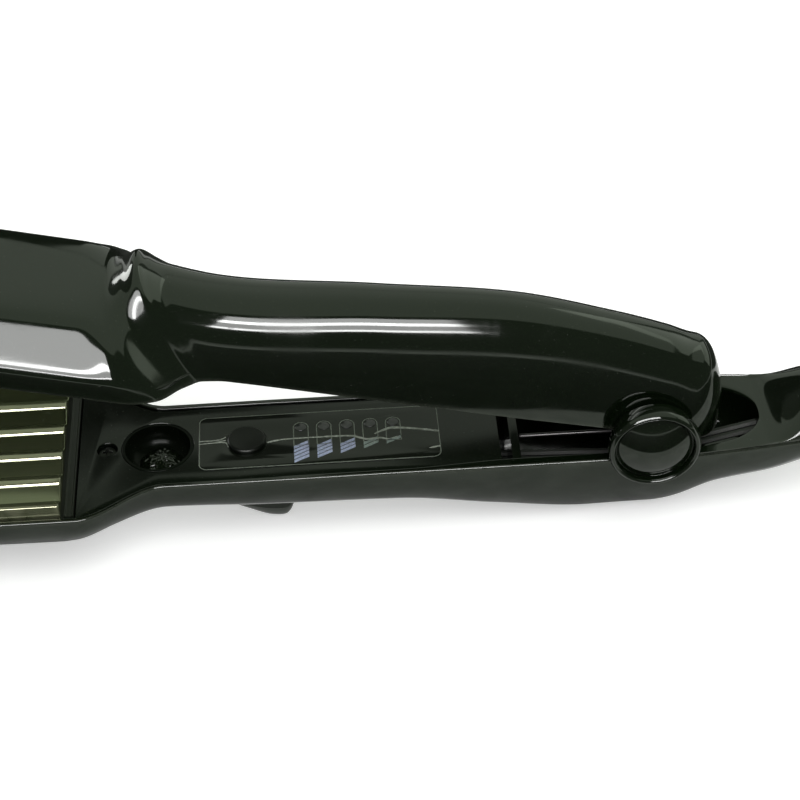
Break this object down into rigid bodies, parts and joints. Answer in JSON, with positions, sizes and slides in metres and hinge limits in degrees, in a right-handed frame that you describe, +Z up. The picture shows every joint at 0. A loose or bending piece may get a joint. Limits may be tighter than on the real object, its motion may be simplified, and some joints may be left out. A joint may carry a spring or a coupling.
{
  "type": "hair crimper",
  "caption": "Hair crimper with hinged sprung arms, wide ridged heating plates, a guide cup and peg, a power button, indicator windows and a swivel cord gland.",
  "frame": {"origin": "on the table under the hinge axis, on the flat of the lower arm's belly", "axes": "+X from the plates toward the cord end, +Y to the far side as pictured, +Z up"},
  "size_m": [0.3176, 0.054, 0.0981],
  "materials": {
    "gloss_black_plastic": "high gloss moulded black",
    "satin_black_plastic": "fine satin moulded black",
    "heat_resistant_black": "smooth heat-resistant black",
    "champagne_plate": "smooth champagne ceramic coat on cast aluminium",
    "steel": "bright steel",
    "zinc_sheet": "zinc-plated sheet",
    "mica": "mica-faced heater",
    "heat_felt": "heat felt",
    "circuit_board": "green board",
    "component_black": "matt component",
    "component_blue": "dipped component",
    "smoked_lens": "smoked clear plastic",
    "led_resin": "lamp resin",
    "label_film": "smooth printed film",
    "lead_insulation": "heat-resistant lead insulation",
    "fuse_case": "plain metal case",
    "acetal_bush": "natural acetal",
    "gland_black": "satin black"
  },
  "bodies": {
    "lower_arm": {"lower_shell": "gloss_black_plastic", "lower_plate_frame": "heat_resistant_black", "lower_crimp_plate": "champagne_plate", "lower_heater": "mica", "lower_heater_clamp": "zinc_sheet", "lower_insulator": "heat_felt", "thermal_fuse": "fuse_case", "temperature_sensor": "component_black", "lower_deck": "satin_black_plastic", "guide_cup": "gloss_black_plastic", "control_label": "label_film", "indicator_lenses": "smoked_lens", "indicator_lamps": "led_resin", "deck_screw": "steel", "control_board": "circuit_board", "button_switch": "component_black", "mains_capacitor": "component_blue", "triac": "component_black", "hinge_pin": "steel", "near_hinge_cap": "gloss_black_plastic", "far_hinge_cap": "gloss_black_plastic", "torsion_spring": "steel", "tail_collar": "gloss_black_plastic", "mains_lead_live": "lead_insulation", "mains_lead_neutral": "lead_insulation", "lower_heater_lead": "lead_insulation"},
    "upper_arm": {"upper_shell": "gloss_black_plastic", "upper_plate_frame": "heat_resistant_black", "upper_crimp_plate": "champagne_plate", "upper_heater": "mica", "upper_heater_clamp": "zinc_sheet", "upper_insulator": "heat_felt", "upper_deck": "satin_black_plastic", "upper_front_screw": "steel", "upper_rear_screw": "steel", "near_hinge_bush": "acetal_bush", "far_hinge_bush": "acetal_bush", "upper_heater_lead": "lead_insulation"},
    "power_button": {"power_button": "gloss_black_plastic"},
    "swivel_gland": {"swivel_gland": "gland_black"}
  },
  "joints": [
    {"name": "arm_hinge", "type": "hinge", "parent": "lower_arm", "child": "upper_arm", "pos_m": [0, 0, 0.0275], "axis": [0, -1, 0], "range_deg": [0, 14], "stiffness_Nm_per_rad": 0.5, "springref_deg": -40.11, "deforming": ["torsion_spring"]},
    {"name": "button_press", "type": "slide", "parent": "lower_arm", "child": "power_button", "axis": [0, 0, -1], "range_m": [0, 0.0007], "stiffness_N_per_m": 400, "springref_m": -0.001},
    {"name": "gland_swivel", "type": "hinge", "parent": "lower_arm", "child": "swivel_gland", "pos_m": [0.06, 0, 0.0225], "axis": [1, 0, 0], "continuous": true}
  ]
}
